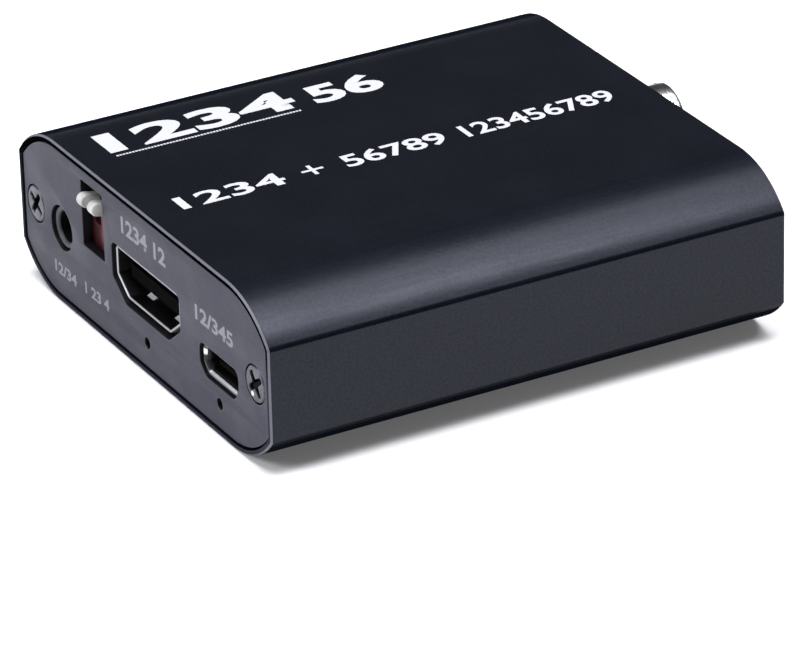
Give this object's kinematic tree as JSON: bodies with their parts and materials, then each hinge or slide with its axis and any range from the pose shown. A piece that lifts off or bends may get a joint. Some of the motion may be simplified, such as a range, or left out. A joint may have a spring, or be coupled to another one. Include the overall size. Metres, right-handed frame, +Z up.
{
  "type": "hdmi audio extractor",
  "caption": "Small metal box that passes HDMI video on and takes its sound out to a headphone jack, an RCA jack and an optical port, powered over micro USB.",
  "frame": {"origin": "middle of the case's bottom face, on the surface that it stands on", "axes": "+X to the right as one faces the input plate, +Y from the input plate to the output plate, +Z up"},
  "size_m": [0.0582, 0.068, 0.0192],
  "materials": {
    "case": "black anodised, fine satin, bare bright edges at both ends",
    "plate": "grey anodised, fine blasted",
    "screw": "nickel plated",
    "board": "glass-filled board under green solder resist",
    "socket_shell": "nickel plated sheet steel",
    "black_moulding": "moulded, matt",
    "contact": "gold flashed",
    "switch_red": "moulded, satin red",
    "key_white": "moulded, white",
    "barrel": "nickel plated, bright",
    "insert_yellow": "moulded, yellow",
    "flap_black": "moulded, satin black",
    "steel": "bright",
    "emitter": "tinted moulding",
    "lamp": "white body, clear lens",
    "chip": "moulded, with tinned leads",
    "ferrite": "dark grey ferrite",
    "capacitor": "bright cans, tan ceramic blocks",
    "crystal_can": "bright can"
  },
  "bodies": {
    "box": {"case_shell": "case", "front_plate": "plate", "rear_plate": "plate", "front_screws": "screw", "rear_screws": "screw", "circuit_board": "board", "hdmi_in_shell": "socket_shell", "hdmi_in_tongue": "black_moulding", "hdmi_in_contacts": "contact", "hdmi_out_shell": "socket_shell", "hdmi_out_tongue": "black_moulding", "hdmi_out_contacts": "contact", "usb_shell": "socket_shell", "usb_tongue": "black_moulding", "usb_contacts": "contact", "headphone_jack_body": "black_moulding", "headphone_jack_contacts": "contact", "dip_switch_body": "switch_red", "dip_switch_pins": "steel", "rca_housing": "black_moulding", "rca_barrel": "barrel", "rca_insulator": "insert_yellow", "rca_centre_contact": "contact", "optical_housing": "black_moulding", "optical_shutter_pin": "steel", "optical_shutter_spring": "steel", "optical_emitter": "emitter", "status_lamps": "lamp", "main_chip": "chip", "audio_chip": "chip", "memory_chip": "chip", "voltage_regulator": "chip", "crystal": "crystal_can", "inductor": "ferrite", "capacitors": "capacitor"},
    "key_1": {"dip_lever_1": "key_white"},
    "key_2": {"dip_lever_2": "key_white"},
    "flap": {"optical_shutter": "flap_black"}
  },
  "joints": [
    {"name": "key_1_tilt", "type": "hinge", "parent": "box", "child": "key_1", "pos_m": [-0.01267, -0.0264, 0.0143], "axis": [1, 0, 0], "range_deg": [0, 23]},
    {"name": "key_2_tilt", "type": "hinge", "parent": "box", "child": "key_2", "pos_m": [-0.01013, -0.0264, 0.0143], "axis": [1, 0, 0], "range_deg": [0, 23]},
    {"name": "flap_swing", "type": "hinge", "parent": "box", "child": "flap", "pos_m": [-0.0168, 0.02882, 0.01517], "axis": [-1, 0, 0], "range_deg": [0, 85], "stiffness_Nm_per_rad": 0.0001, "springref_deg": -20.05}
  ]
}
